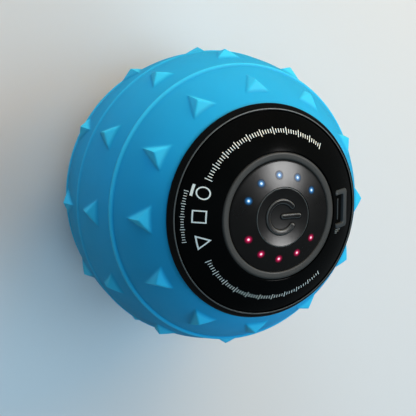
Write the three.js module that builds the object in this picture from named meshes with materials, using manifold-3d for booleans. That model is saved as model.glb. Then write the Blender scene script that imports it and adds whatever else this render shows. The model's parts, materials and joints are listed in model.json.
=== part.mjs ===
// Vibrating massage ball: a hollow hard-shelled ball in a studded silicone sleeve, with a
// flush black cap at each pole. The front cap carries the lamp panel, the power button and
// the charging port; the rear cap carries the flat foot that the ball stands on.
// Units are millimetres. Parts are drawn about the ball's centre, +Z out through the button
// and +X towards the charging port, then lifted so that the foot's face is at z = 0.

import * as THREE from 'three';
import { mergeVertices } from 'three/addons/utils/BufferGeometryUtils.js';
import Module from 'manifold-3d';

const wasm = await Module();
wasm.setup();

// ---- driving dimensions -------------------------------------------------------------
const GAP = 0.3;                 // clearance between neighbouring parts
const BALL_R = 61.5;             // silicone surface between the studs and ribs
const FOOT_Z = -57.5;            // underside of the foot, measured from the ball's centre

const SLEEVE_T = 3.2;            // silicone thickness
const SLEEVE_EDGE_Z = 44.3;      // height where the sleeve stops, on both halves
const RIB_LATITUDES = [-22.5, 0, 22.5];
const RIB_HALF_W = 1.05;         // half width of a bead rib
const RIB_H = 0.9;

const STUD_ROWS = [-36.4, -11.5, 11.5, 36.4];
const STUDS_PER_ROW = 12;
const STUD_TIP_R = 64.1;         // radius to a stud's tip
const STUD_HALF_W = 5.85;        // half the base edge that faces the nearer cap
const STUD_EDGE_DEG = 3.9;       // from the tip to that edge, towards the cap
const STUD_POINT_DEG = 6.6;      // from the tip to the point that faces the equator

const SHELL_R = BALL_R - SLEEVE_T - 2 * GAP;
const SHELL_T = 2.4;

const CAP_R = 62.1;              // radius of the black domes, a little proud of the sleeve
const CAP_T = 2.2;
const CAP_RIM_R = 40.3;          // outer radius of the domes, inside the bezels
const BEZEL_OUT_R = 43.0;

const RING_IN_R = 22.1;          // grey ring round the lamp panel
const RING_OUT_R = 25.1;
const RING_TOP_Z = 56.5;

const PANEL_DROP = 1.0;          // lamp panel below the ball's surface
const LAMP_CIRCLE_R = 16.5;
const LAMP_R = 1.75;
const LAMP_ANGLES = [35, 64.5, 94, 123.5, 153];   // from the charging port's direction

const BUTTON_R = 11.75;
const BUTTON_RIM_Z = 59.3;
const BUTTON_DISH = 1.3;
const BUTTON_TRAVEL = 0.6;

const BOARD_Z = 48.7;            // underside of the lamp and switch board
const BOARD_T = 1.6;

const PORT_LATITUDE = 60.2;
const PORT_LENGTH = 15.6;        // outside of the port's frame
const PORT_WIDTH = 9.3;
const PORT_ARM = 1.9;            // raised lip along each short side of the frame
const PORT_BAR = 3.4;            // raised lip along the side away from the ring
const PORT_SILL = 0.6;           // flush wall beside the ring
const PORT_LIP = 0.45;           // height of the lip over the dome
const PORT_DEPTH = 1.2;          // frame below the dome

const DECK_TOP_Z = -18;
const DECK_T = 2.4;
const MOTOR_R = 13.8;
const MOTOR_HALF = 19;
const SHAFT_R = 1.5;
const CELL_R = 9.2;
const CELL_HALF = 32.5;
const CELL_Y = 9.6;
const CELL_Z = DECK_TOP_Z - DECK_T - GAP - CELL_R;

const ROUND = 36;                // facets round the parts that show
const INNER_ROUND = 24;          // facets round the parts inside

// ---- helpers ------------------------------------------------------------------------
const radians = (deg) => (deg * Math.PI) / 180;
const depthAt = (radius, r) => Math.sqrt(radius * radius - r * r);

// A three.js geometry as a Manifold solid, for adding and cutting.
function solid(geometry) {
  const bare = geometry.clone();
  bare.deleteAttribute('normal');
  bare.deleteAttribute('uv');
  const merged = mergeVertices(bare, 1e-4);
  const index = merged.index.array;
  const triangles = [];
  for (let i = 0; i < index.length; i += 3) {
    const [a, b, c] = [index[i], index[i + 1], index[i + 2]];
    if (a !== b && b !== c && c !== a) {
      triangles.push(a, b, c);
    }
  }
  return new wasm.Manifold(new wasm.Mesh({
    numProp: 3,
    vertProperties: new Float32Array(merged.attributes.position.array),
    triVerts: new Uint32Array(triangles),
  }));
}

function geometryOf(manifold) {
  const mesh = manifold.getMesh();
  const geometry = new THREE.BufferGeometry();
  geometry.setAttribute('position', new THREE.BufferAttribute(mesh.vertProperties, 3));
  geometry.setIndex(new THREE.BufferAttribute(mesh.triVerts, 1));
  return geometry;
}

const joined = (solids) => solids.reduce((sum, next) => sum.add(next));

// Turns a closed outline of [radius, height] pairs about Z. Outlines that touch the axis
// start and end on it; the others are closed here.
function revolved(outline, facets = ROUND) {
  const points = outline.map(([r, z]) => new THREE.Vector2(r, z));
  const last = points[points.length - 1];
  if (points[0].x > 0 || last.x > 0) {
    points.push(points[0].clone());
  }
  let area = 0;
  points.forEach((p, i) => {
    const q = points[(i + 1) % points.length];
    area += p.x * q.y - q.x * p.y;
  });
  if (area < 0) {
    points.reverse();
  }
  return new THREE.LatheGeometry(points, facets).rotateX(Math.PI / 2);
}

// Points on a circle of the given radius about the ball's centre, from one height to another.
function arcPoints(radius, fromZ, toZ, steps) {
  const from = Math.asin(fromZ / radius);
  const to = Math.asin(toZ / radius);
  return Array.from({ length: steps + 1 }, (_, i) => {
    const angle = from + ((to - from) * i) / steps;
    return [radius * Math.cos(angle), radius * Math.sin(angle)];
  });
}

function box(x, y, z) {
  const [x0, x1] = x;
  const [y0, y1] = y;
  const [z0, z1] = z;
  const geometry = new THREE.BoxGeometry(x1 - x0, y1 - y0, z1 - z0);
  return geometry.translate((x0 + x1) / 2, (y0 + y1) / 2, (z0 + z1) / 2);
}

function rod(radius, z, x = 0, y = 0, facets = 12) {
  const geometry = new THREE.CylinderGeometry(radius, radius, z[1] - z[0], facets);
  return geometry.rotateX(Math.PI / 2).translate(x, y, (z[0] + z[1]) / 2);
}

const rodAlongX = (radius, x, y, z, facets = INNER_ROUND) =>
  rod(radius, x, 0, 0, facets).rotateY(Math.PI / 2).translate(0, y, z);

function roundedBox(width, length, corner, z) {
  const [w, l] = [width / 2, length / 2];
  const shape = new THREE.Shape();
  shape.moveTo(w - corner, -l);
  shape.absarc(w - corner, -l + corner, corner, -Math.PI / 2, 0);
  shape.absarc(w - corner, l - corner, corner, 0, Math.PI / 2);
  shape.absarc(-w + corner, l - corner, corner, Math.PI / 2, Math.PI);
  shape.absarc(-w + corner, -l + corner, corner, Math.PI, Math.PI * 1.5);
  const options = { depth: z[1] - z[0], bevelEnabled: false, curveSegments: 4 };
  return new THREE.ExtrudeGeometry(shape, options).translate(0, 0, z[0]);
}

// Moves a part drawn at the pole to the charging port: x downhill, z out of the surface.
const toPort = (geometry) => geometry.rotateY(radians(90 - PORT_LATITUDE));

const around = (count, radius, startDeg) => Array.from({ length: count }, (_, i) => {
  const angle = radians(startDeg + (360 / count) * i);
  return [radius * Math.cos(angle), radius * Math.sin(angle)];
});

// ---- materials ----------------------------------------------------------------------
const paint = (color, roughness, metalness = 0, emissive = 0x000000) =>
  ({ color, roughness, metalness, emissive });

const MATERIALS = {
  blue_silicone: paint(0x2ba1cd, 0.45),
  gloss_black: paint(0x08080a, 0.12),
  grey_ring: paint(0x46464a, 0.7),
  panel_black: paint(0x0b0b0d, 0.1),
  blue_lamp: paint(0xbfdcff, 0.3, 0, 0x3f8cff),
  red_lamp: paint(0xffb3c4, 0.3, 0, 0xff2f5c),
  button_black: paint(0x101013, 0.18),
  port_grey: paint(0x3a3a3e, 0.5),
  port_rubber: paint(0x131315, 0.8),
  shell_grey: paint(0x2b2d31, 0.65),
  carrier_black: paint(0x1b1c1f, 0.7),
  board_green: paint(0x14512f, 0.5),
  steel: paint(0xb6b9bd, 0.35, 1),
  screw_steel: paint(0x8d9095, 0.4, 1),
  brass: paint(0xb48a3c, 0.35, 1),
  damper_rubber: paint(0x1d1d1f, 0.9),
  cell_wrap: paint(0x1f7a4d, 0.35),
  foot_rubber: paint(0x202124, 0.85),
  lead_insulation: paint(0xa3261f, 0.6),
};

const ball = new THREE.Group();
ball.name = 'massage_ball';

function add(name, slot, shape) {
  const geometry = shape instanceof THREE.BufferGeometry ? geometryOf(solid(shape)) : geometryOf(shape);
  geometry.translate(0, 0, -FOOT_Z);
  const material = new THREE.MeshStandardMaterial({ ...MATERIALS[slot], name: slot });
  const mesh = new THREE.Mesh(geometry, material);
  mesh.name = name;
  ball.add(mesh);
}

// ---- sleeve -------------------------------------------------------------------------
// Outline of the outer surface: the ball's curve with a half-round bead at each rib.
function sleeveOuterOutline() {
  const edge = Math.asin(SLEEVE_EDGE_Z / BALL_R);
  const half = RIB_HALF_W / BALL_R;
  const outline = [];
  const put = (angle, lift) => {
    const r = BALL_R + lift;
    outline.push([r * Math.cos(angle), r * Math.sin(angle)]);
  };
  let from = -edge;
  for (const latitude of RIB_LATITUDES) {
    const rib = radians(latitude);
    put(from, 0);
    put((from + rib - half) / 2, 0);
    put(rib - half, 0);
    put(rib - half * 0.6, RIB_H * 0.8);
    put(rib, RIB_H);
    put(rib + half * 0.6, RIB_H * 0.8);
    from = rib + half;
  }
  put(from, 0);
  put((from + edge) / 2, 0);
  put(edge, 0);
  return outline;
}

// A low three-sided pyramid; its base is carried below the surface so that the two join.
function stud(latitude, longitude) {
  const sense = Math.sign(latitude);
  const at = (lat, lon, r) => {
    const [a, b] = [radians(lat), radians(lon)];
    return new THREE.Vector3(
      r * Math.cos(a) * Math.cos(b), r * Math.cos(a) * Math.sin(b), r * Math.sin(a));
  };
  const edge = latitude + sense * STUD_EDGE_DEG;
  const spread = (STUD_HALF_W / (BALL_R * Math.cos(radians(edge)))) * (180 / Math.PI);
  const tip = at(latitude, longitude, STUD_TIP_R);
  const base = [
    at(edge, longitude - spread, BALL_R),
    at(edge, longitude + spread, BALL_R),
    at(latitude - sense * STUD_POINT_DEG, longitude, BALL_R),
  ].map((corner) => corner.sub(tip).multiplyScalar(1.3).add(tip));
  if (sense > 0) {
    base.reverse();
  }
  const [a, b, c] = base;
  const faces = [tip, a, b, tip, b, c, tip, c, a, a, c, b];
  const geometry = new THREE.BufferGeometry().setFromPoints(faces);
  return solid(geometry);
}

function sleeve() {
  const inner = arcPoints(BALL_R - SLEEVE_T, SLEEVE_EDGE_Z, -SLEEVE_EDGE_Z, 9);
  const skin = solid(revolved([...sleeveOuterOutline(), ...inner]));
  const studs = STUD_ROWS.flatMap((latitude) =>
    Array.from({ length: STUDS_PER_ROW }, (_, i) => stud(latitude, (360 / STUDS_PER_ROW) * i)));
  return joined([skin, ...studs]);
}

add('silicone_sleeve', 'blue_silicone', sleeve());

// ---- screws -------------------------------------------------------------------------
const SCREW_R = 1.15;
const SCREW_HOLE_R = 1.45;
const SCREW_HEAD_R = 2.6;
const SCREW_HEAD_H = 1.8;

// A pan-head screw standing at x, y with its head's bearing face at seatZ; up is +1 when
// the shank points up and -1 when it points down.
function screw(x, y, seatZ, length, up) {
  const outline = [
    [0, -SCREW_HEAD_H], [SCREW_HEAD_R * 0.8, -SCREW_HEAD_H], [SCREW_HEAD_R, 0], [SCREW_R, 0],
    [SCREW_R, length], [0, length],
  ];
  const geometry = revolved(outline, 8);
  if (up < 0) {
    geometry.rotateX(Math.PI);
  }
  return geometry.translate(x, y, seatZ);
}

const screwHole = (x, y, z) => solid(rod(SCREW_HOLE_R, z, x, y, 8));

// ---- hard shells --------------------------------------------------------------------
const SEAT_Z = SLEEVE_EDGE_Z;                  // outer face of each shell's flat end
const SEAT_T = 2.3;
const SHELL_IN_R = SHELL_R - SHELL_T;
const SPIGOT_R = SHELL_IN_R - 0.9;             // inner collar that laps the two halves
const SPIGOT_H = 6;
const CAP_BOSSES = around(3, 31.5, 60);
const REAR_BOSSES = around(3, 31.5, 0);
const DECK_POSTS = around(4, 45, 45);

// The space kept clear under the charging port, drawn at the pole.
const portNotch = () =>
  solid(toPort(box([-3.6, 8], [-11, 11], [CAP_R - 13, CAP_R - 4.6])));

function frontShell() {
  const outline = [
    ...arcPoints(SHELL_R, GAP / 2, SEAT_Z, 5),
    [28.5, SEAT_Z], [28.5, SEAT_Z - SEAT_T],
    ...arcPoints(SHELL_IN_R, SEAT_Z - SEAT_T, SPIGOT_H, 4),
    [SPIGOT_R - 2, SPIGOT_H], [SPIGOT_R - 2, -SPIGOT_H], [SPIGOT_R, -SPIGOT_H],
    [SPIGOT_R, GAP / 2],
  ];
  let shell = solid(revolved(outline, INNER_ROUND)).subtract(portNotch());
  for (const [x, y] of CAP_BOSSES) {
    shell = shell.subtract(screwHole(x, y, [40, 46]));
  }
  return shell;
}

function rearShell() {
  const outline = [
    [0, -SEAT_Z],
    ...arcPoints(SHELL_R, -SEAT_Z, -GAP / 2, 5),
    ...arcPoints(SHELL_IN_R, -GAP / 2, -SEAT_Z + SEAT_T, 5),
    [0, -SEAT_Z + SEAT_T],
  ];
  let shell = solid(revolved(outline, INNER_ROUND));
  const core = solid(new THREE.SphereGeometry(SHELL_R - 1, 16, 12));
  const postTop = DECK_TOP_Z - DECK_T - GAP;
  for (const [x, y] of DECK_POSTS) {
    shell = shell.add(solid(rod(4, [-40, postTop], x, y, 10)).intersect(core));
    shell = shell.subtract(screwHole(x, y, [postTop - 9, postTop + 1]));
  }
  for (const [x, y] of REAR_BOSSES) {
    shell = shell.subtract(screwHole(x, y, [-46, -40]));
  }
  return shell;
}

add('front_shell', 'shell_grey', frontShell());
add('rear_shell', 'shell_grey', rearShell());

// ---- bezels and domes ---------------------------------------------------------------
// The rounded black band between the sleeve's edge and the dome; the same at both poles.
function bezel(side) {
  const seat = SEAT_Z + GAP;
  const outline = [
    [34.6, seat], [BEZEL_OUT_R, seat], [BEZEL_OUT_R + 0.1, seat + 0.5], [42.6, 46.0],
    [41.6, 47.0], [40.9, 47.3], [CAP_RIM_R + GAP, 46.9], [CAP_RIM_R + GAP, seat + 1.4],
    [34.6, seat + 1.4],
  ];
  return revolved(outline.map(([r, z]) => [r, z * side]));
}

const SOCKET_HALF = [1.55, 4.45];
const SOCKET_X = -0.35;                        // socket's centre, towards the ring
const SOCKET_BACK = 6.4;                       // depth of its back below the dome
const DOME_EDGE_Z = SEAT_Z + 2.0;              // flat lower edge of each dome, on its bezel
const COLLAR_R = RING_OUT_R + GAP;             // bore that the grey ring drops into
const BOSS_R = 2.9;

function domeBosses(positions, inside) {
  return positions.map(([x, y]) => solid(rod(BOSS_R, [inside, 52], x, y, 8)));
}

function frontCap() {
  const innerR = CAP_R - CAP_T;
  const outline = [
    ...arcPoints(CAP_R, depthAt(CAP_R, CAP_RIM_R), depthAt(CAP_R, COLLAR_R), 4),
    [COLLAR_R, 48.5], [COLLAR_R + 1.8, 48.5],
    ...arcPoints(innerR, depthAt(innerR, COLLAR_R + 1.8), DOME_EDGE_Z, 2),
    [CAP_RIM_R, DOME_EDGE_Z],
  ];
  const core = solid(new THREE.SphereGeometry(CAP_R - 0.4, 20, 16));
  const well = solid(toPort(roundedBox(12.6, 19, 2, [CAP_R - 4.4, CAP_R - 1])));
  let cap = joined([
    solid(revolved(outline)),
    ...domeBosses(CAP_BOSSES, 46.7).map((boss) => boss.intersect(core)),
    well.intersect(core),
  ]);
  cap = cap.subtract(solid(rod(COLLAR_R, [40, 62], 0, 0, ROUND)));
  const mouth = [PORT_WIDTH + 2 * GAP, PORT_LENGTH + 2 * GAP];
  const mouthZ = [CAP_R - PORT_DEPTH - GAP, CAP_R + 3];
  cap = cap.subtract(solid(toPort(roundedBox(...mouth, 1.8, mouthZ))));
  const [w, l] = SOCKET_HALF.map((half) => half + GAP);
  const throat = box([SOCKET_X - w, SOCKET_X + w], [-l, l], [CAP_R - SOCKET_BACK - GAP, CAP_R]);
  cap = cap.subtract(solid(toPort(throat)));
  for (const [x, y] of CAP_BOSSES) {
    cap = cap.subtract(screwHole(x, y, [44, 50.5]));
  }
  return cap;
}

const FOOT_R = 24;
const FOOT_SEAT_Z = -55.4;

function rearCap() {
  const innerR = CAP_R - CAP_T;
  const flatZ = -56.6;
  const outline = [
    [0, FOOT_SEAT_Z], [FOOT_R + GAP, FOOT_SEAT_Z], [FOOT_R + GAP, flatZ],
    ...arcPoints(CAP_R, flatZ, -depthAt(CAP_R, CAP_RIM_R), 4),
    [CAP_RIM_R, -DOME_EDGE_Z],
    ...arcPoints(innerR, -DOME_EDGE_Z, FOOT_SEAT_Z + CAP_T, 2),
    [0, FOOT_SEAT_Z + CAP_T],
  ];
  const bosses = REAR_BOSSES.map(([x, y]) => solid(rod(BOSS_R, [-52, -SEAT_Z - GAP], x, y, 8)));
  const core = solid(new THREE.SphereGeometry(CAP_R - 0.4, 20, 16));
  let cap = joined([solid(revolved(outline)), ...bosses.map((boss) => boss.intersect(core))]);
  for (const [x, y] of REAR_BOSSES) {
    cap = cap.subtract(screwHole(x, y, [-50.5, -44]));
  }
  return cap;
}

add('front_bezel', 'gloss_black', bezel(1));
add('rear_bezel', 'gloss_black', bezel(-1));
add('front_cap', 'gloss_black', frontCap());
add('rear_cap', 'gloss_black', rearCap());
add('foot_pad', 'foot_rubber', revolved([
  [0, FOOT_Z], [FOOT_R - 0.6, FOOT_Z], [FOOT_R, FOOT_Z + 0.6], [FOOT_R, FOOT_SEAT_Z - GAP],
  [0, FOOT_SEAT_Z - GAP],
]));

CAP_BOSSES.forEach(([x, y], i) =>
  add(`cap_screw_${i + 1}`, 'screw_steel', screw(x, y, SEAT_Z - SEAT_T - GAP, 8, 1)));
REAR_BOSSES.forEach(([x, y], i) =>
  add(`rear_cap_screw_${i + 1}`, 'screw_steel', screw(x, y, -SEAT_Z + SEAT_T + GAP, 8, -1)));

// ---- lamp panel and button ----------------------------------------------------------
const LEDGE_Z = 54.2;                          // step in the grey ring that carries the panel
const panelTop = (r) => depthAt(BALL_R, r) - PANEL_DROP;
const BOARD_TOP_Z = BOARD_Z + BOARD_T;

add('panel_ring', 'grey_ring', revolved([
  [RING_IN_R, RING_TOP_Z - 0.2], [RING_IN_R + 0.3, RING_TOP_Z], [RING_OUT_R - 0.4, RING_TOP_Z + 0.1],
  [RING_OUT_R, RING_TOP_Z - 0.3], [RING_OUT_R, BOARD_TOP_Z + GAP], [RING_IN_R, BOARD_TOP_Z + GAP],
  [20.5, LEDGE_Z - 1.2], [20.5, LEDGE_Z], [RING_IN_R, LEDGE_Z],
]));

const lampAngles = {
  blue: LAMP_ANGLES,
  red: LAMP_ANGLES.map((angle) => -angle),
};
const lampPlaces = (angles) => angles.map((angle) => {
  const a = radians(angle);
  return [LAMP_CIRCLE_R * Math.cos(a), LAMP_CIRCLE_R * Math.sin(a)];
});

function lampPanel() {
  const [inner, outer] = [BUTTON_R + GAP, RING_IN_R - GAP];
  const radii = [0, 0.5, 1].map((part) => inner + (outer - inner) * part);
  const top = radii.map((r) => [r, panelTop(r)]);
  const under = [[outer, LEDGE_Z + GAP], [20.8, LEDGE_Z + GAP], [16.5, 56.2], [inner, 57.1]];
  let panel = solid(revolved([...top, ...under]));
  for (const [x, y] of lampPlaces([...lampAngles.blue, ...lampAngles.red])) {
    panel = panel.subtract(solid(rod(LAMP_R + GAP, [52, 62], x, y, 8)));
  }
  return panel;
}

// A light guide that stands on the board and ends in a low dome just proud of the panel.
function lamp(x, y) {
  const top = panelTop(LAMP_CIRCLE_R);
  const outline = [
    [0, BOARD_TOP_Z + GAP], [LAMP_R, BOARD_TOP_Z + GAP], [LAMP_R, top - 0.1],
    [LAMP_R * 0.6, top + 0.2], [0, top + 0.3],
  ];
  return revolved(outline, 8).translate(x, y, 0);
}

add('led_panel', 'panel_black', lampPanel());
for (const [color, angles] of Object.entries(lampAngles)) {
  lampPlaces(angles).forEach(([x, y], i) =>
    add(`${color}_lamp_${i + 1}`, `${color}_lamp`, lamp(x, y)));
}

const SYMBOL_OUT_R = 6.7;
const SYMBOL_IN_R = 5.5;
const SYMBOL_GAP_DEG = 38;                     // half the opening of the symbol's arc
const SYMBOL_TOP_Z = 58.7;

// The raised standby symbol: an arc open towards the charging port, with a bar through it.
function standbySymbol() {
  const arc = new THREE.Shape();
  const [from, to] = [radians(SYMBOL_GAP_DEG), radians(360 - SYMBOL_GAP_DEG)];
  arc.absarc(0, 0, SYMBOL_OUT_R, from, to, false);
  arc.absarc(0, 0, SYMBOL_IN_R, to, from, true);
  const low = BUTTON_RIM_Z - BUTTON_DISH - 0.6;
  const options = { depth: SYMBOL_TOP_Z - low, bevelEnabled: false, curveSegments: 14 };
  const ring = new THREE.ExtrudeGeometry(arc, options).translate(0, 0, low);
  return [solid(ring), solid(box([0.6, 7.6], [-0.6, 0.6], [low, SYMBOL_TOP_Z]))];
}

function powerButton() {
  const centreZ = BUTTON_RIM_Z - BUTTON_DISH;
  const outline = [
    [0, 55.2], [3, 55.2], [3, 56.2], [13, 56.2], [13, 56.8], [BUTTON_R, 56.8],
    [BUTTON_R, BUTTON_RIM_Z - 0.3], [BUTTON_R - 0.3, BUTTON_RIM_Z], [BUTTON_R - 0.7, BUTTON_RIM_Z - 0.1],
    ...[8, 4.5, 0].map((r) => [r, centreZ + BUTTON_DISH * (r / BUTTON_R) ** 2]),
  ];
  return joined([solid(revolved(outline, 32)), ...standbySymbol()]);
}

add('power_button', 'button_black', powerButton());

const SWITCH_TOP_Z = BOARD_TOP_Z + GAP + 3.3;
const PLUNGER_R = 1.7;
add('control_board', 'board_green', revolved(
  [[0, BOARD_Z], [24.8, BOARD_Z], [24.8, BOARD_TOP_Z], [0, BOARD_TOP_Z]], INNER_ROUND));
add('switch_body', 'carrier_black',
  solid(box([-3, 3], [-3, 3], [BOARD_TOP_Z + GAP, SWITCH_TOP_Z])).subtract(
    solid(rod(PLUNGER_R + GAP, [SWITCH_TOP_Z - 2.3, SWITCH_TOP_Z + 1]))));
add('switch_plunger', 'port_grey', rod(PLUNGER_R, [SWITCH_TOP_Z - 2.3 + BUTTON_TRAVEL + 0.4, 54.9]));

// The plate that presses the board up into the dome and is held by the same three screws.
function boardRetainer() {
  const [low, high] = [SEAT_Z + GAP, SEAT_Z + 2.1];
  const outline = [
    [8, low], [34.2, low], [34.2, high], [24, high], [24, BOARD_Z - GAP], [20.5, BOARD_Z - GAP],
    [20.5, high], [8, high],
  ];
  let plate = solid(revolved(outline, INNER_ROUND)).subtract(portNotch());
  for (const [x, y] of CAP_BOSSES) {
    plate = plate.subtract(screwHole(x, y, [40, 48]));
  }
  return plate;
}

add('board_retainer', 'carrier_black', boardRetainer());

// ---- charging port ------------------------------------------------------------------
const HOLE_X = [-PORT_WIDTH / 2 + PORT_SILL, PORT_WIDTH / 2 - PORT_BAR];
const HOLE_Y = PORT_LENGTH / 2 - PORT_ARM;
const HOLE_MID_X = (HOLE_X[0] + HOLE_X[1]) / 2;

// A rounded frame that follows the dome, with a wide raised lip on the three sides away
// from the ring.
function portFrame() {
  const frame = solid(roundedBox(PORT_WIDTH, PORT_LENGTH, 1.5, [CAP_R - PORT_DEPTH, CAP_R + 1]));
  const outer = solid(new THREE.SphereGeometry(CAP_R + PORT_LIP, 64, 48));
  const hole = roundedBox(HOLE_X[1] - HOLE_X[0], 2 * HOLE_Y, 0.9, [CAP_R - 3, CAP_R + 3]);
  const lowSide = box([-6, HOLE_X[0] + 0.3], [-HOLE_Y, HOLE_Y], [CAP_R - 0.3, CAP_R + 3]);
  const cut = solid(hole.translate(HOLE_MID_X, 0, 0)).add(solid(lowSide));
  return geometryOf(frame.intersect(outer).subtract(cut));
}

// The flap lies sunk in the frame and follows the dome, with a moulded rib along its face.
function portCover() {
  const size = [HOLE_X[1] - HOLE_X[0] - 2 * GAP, 2 * (HOLE_Y - GAP)];
  const plate = roundedBox(...size, 0.7, [CAP_R - PORT_DEPTH + 0.05, CAP_R]);
  const outer = solid(new THREE.SphereGeometry(CAP_R - 0.35, 64, 48));
  const rib = box([HOLE_MID_X - 1.2, HOLE_MID_X - 0.8], [-4.2, 4.2], [CAP_R - 1, CAP_R - 0.25]);
  return geometryOf(solid(plate.translate(HOLE_MID_X, 0, 0)).intersect(outer).add(solid(rib)));
}

// The steel mouth of the socket with its contact tongue standing on a closed back.
function chargingSocket() {
  const [w, l] = SOCKET_HALF;
  const [back, mouth] = [CAP_R - SOCKET_BACK, CAP_R - 2.2];
  const body = solid(box([-w, w], [-l, l], [back, mouth]));
  const throat = solid(box([-w + 0.35, w - 0.35], [-l + 0.35, l - 0.35], [back + 1, mouth + 1]));
  const tongue = solid(box([-0.35, 0.35], [-l + 1.2, l - 1.2], [back + 0.5, mouth - 0.6]));
  return geometryOf(body.subtract(throat).add(tongue)).translate(SOCKET_X, 0, 0);
}

add('port_frame', 'port_grey', toPort(portFrame()));
add('port_cover', 'port_rubber', toPort(portCover()));
add('charging_socket', 'steel', toPort(chargingSocket()));
add('charging_board', 'board_green', toPort(box([-2.2, 4.2], [-8, 8], [CAP_R - 9, CAP_R - 7.8])));

// ---- chassis, motor and battery -----------------------------------------------------
const SADDLE_X = 12;
const SADDLE_HALF = 2.5;
const SADDLE_Y = 26;
const SADDLE_R = MOTOR_R + 2.4;
const CLAMP_SCREW_Y = 22.5;
const sides = [-1, 1];
const alongSaddle = (side) => [side * SADDLE_X - SADDLE_HALF, side * SADDLE_X + SADDLE_HALF];

function chassisDeck() {
  const under = DECK_TOP_Z - DECK_T;
  const saddles = sides.map((side) =>
    solid(box(alongSaddle(side), [-SADDLE_Y, SADDLE_Y], [DECK_TOP_Z - 1, -GAP / 2])));
  let deck = joined([solid(rod(50.5, [under, DECK_TOP_Z], 0, 0, INNER_ROUND)), ...saddles]);
  deck = deck.subtract(solid(rodAlongX(SADDLE_R, [-20, 20], 0, 0)));
  for (const [x, y] of DECK_POSTS) {
    deck = deck.subtract(screwHole(x, y, [under - 1, DECK_TOP_Z + 1]));
  }
  for (const side of sides) {
    for (const x of [-SADDLE_X, SADDLE_X]) {
      deck = deck.subtract(screwHole(x, side * CLAMP_SCREW_Y, [-9, 1]));
    }
    const slot = [side * 21.3 - 1.3, side * 21.3 + 1.3];
    deck = deck.subtract(solid(box([-4.4, 4.4], slot, [under - 1, DECK_TOP_Z + 1])));
  }
  return deck.subtract(solid(rod(2.6, [under - 1, DECK_TOP_Z + 1], 40, CELL_Y)));
}

// The arch that holds one end of the motor down on its saddle.
function motorClamp(side) {
  const x = alongSaddle(side);
  let arch = solid(rodAlongX(SADDLE_R + 2.8, x, 0, 0));
  arch = arch.add(solid(box(x, [-SADDLE_Y, SADDLE_Y], [0, 3.4])));
  arch = arch.subtract(solid(rodAlongX(SADDLE_R, [x[0] - 1, x[1] + 1], 0, 0)));
  arch = arch.subtract(solid(box([-20, 20], [-30, 30], [-25, GAP / 2])));
  for (const y of [-CLAMP_SCREW_Y, CLAMP_SCREW_Y]) {
    arch = arch.subtract(screwHole(side * SADDLE_X, y, [-1, 5]));
  }
  return arch;
}

function damper(side) {
  const [x0, x1] = alongSaddle(side);
  const [inner, outer] = [MOTOR_R + GAP, SADDLE_R - GAP];
  const outline = [[inner, x0], [outer, x0], [outer, x1], [inner, x1]];
  return revolved(outline, INNER_ROUND).rotateY(Math.PI / 2);
}

// The can is hollow for the rotor, with a plain bearing hole at each end.
function motorBody() {
  const bore = SHAFT_R + 0.1;
  const [chamberR, chamberX, bossX] = [12.4, MOTOR_HALF - 2, MOTOR_HALF + 1.4];
  const outline = [
    [bore, bossX], [5, bossX], [5, MOTOR_HALF], [MOTOR_R, MOTOR_HALF],
    [MOTOR_R, -MOTOR_HALF], [5, -MOTOR_HALF], [5, -bossX], [bore, -bossX],
    [bore, -chamberX], [chamberR, -chamberX], [chamberR, chamberX], [bore, chamberX],
  ];
  return revolved(outline, INNER_ROUND).rotateY(Math.PI / 2);
}

function motorShaft() {
  const [end, armatureX, armatureR] = [31.5, 12, 9.5];
  const outline = [
    [0, -end], [SHAFT_R, -end], [SHAFT_R, -armatureX], [armatureR, -armatureX],
    [armatureR, armatureX], [SHAFT_R, armatureX], [SHAFT_R, end], [0, end],
  ];
  return revolved(outline, 16).rotateY(Math.PI / 2);
}

// A half disc hanging below a small hub that grips the shaft.
function eccentricWeight(side) {
  const [x0, x1] = [22.2, 30.2];
  const shape = new THREE.Shape();
  shape.absarc(0, 0, 11, Math.PI, Math.PI * 2, false);
  shape.lineTo(4, 0);
  shape.absarc(0, 0, 4, 0, Math.PI, false);
  const bore = new THREE.Path();
  bore.absarc(0, 0, SHAFT_R + 0.2, 0, Math.PI * 2, true);
  shape.holes.push(bore);
  const options = { depth: x1 - x0, bevelEnabled: false, curveSegments: 8 };
  const disc = new THREE.ExtrudeGeometry(shape, options);
  disc.rotateX(Math.PI / 2).rotateZ(Math.PI / 2);
  return disc.translate(side > 0 ? x0 : -x1, 0, 0);
}

function batteryCell(side) {
  const nub = CELL_HALF + 1.0;
  const outline = [
    [0, -CELL_HALF], [CELL_R, -CELL_HALF], [CELL_R, CELL_HALF], [3, CELL_HALF], [3, nub], [0, nub],
  ];
  return revolved(outline, 16).rotateY(Math.PI / 2).translate(0, side * CELL_Y, CELL_Z);
}

// A tray clipped up under the deck that carries both cells.
function batteryCradle() {
  const rim = DECK_TOP_Z - DECK_T - GAP;
  let tray = solid(box([-24, 24], [-24, 24], [-41.5, rim]));
  tray = tray.subtract(solid(box([-25, 25], [-19.3, 19.3], [CELL_Z, rim + 1])));
  for (const side of sides) {
    tray = tray.subtract(solid(rodAlongX(CELL_R + GAP, [-25, 25], side * CELL_Y, CELL_Z)));
    const stem = [side * 21.3 - 0.9, side * 21.3 + 0.9];
    const barb = side > 0 ? [20.4, 23.2] : [-23.2, -20.4];
    tray = tray.add(solid(box([-4, 4], stem, [rim - 1, DECK_TOP_Z + 1.4])));
    tray = tray.add(solid(box([-4, 4], barb, [DECK_TOP_Z + GAP, DECK_TOP_Z + 1.4])));
  }
  return tray;
}

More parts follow.
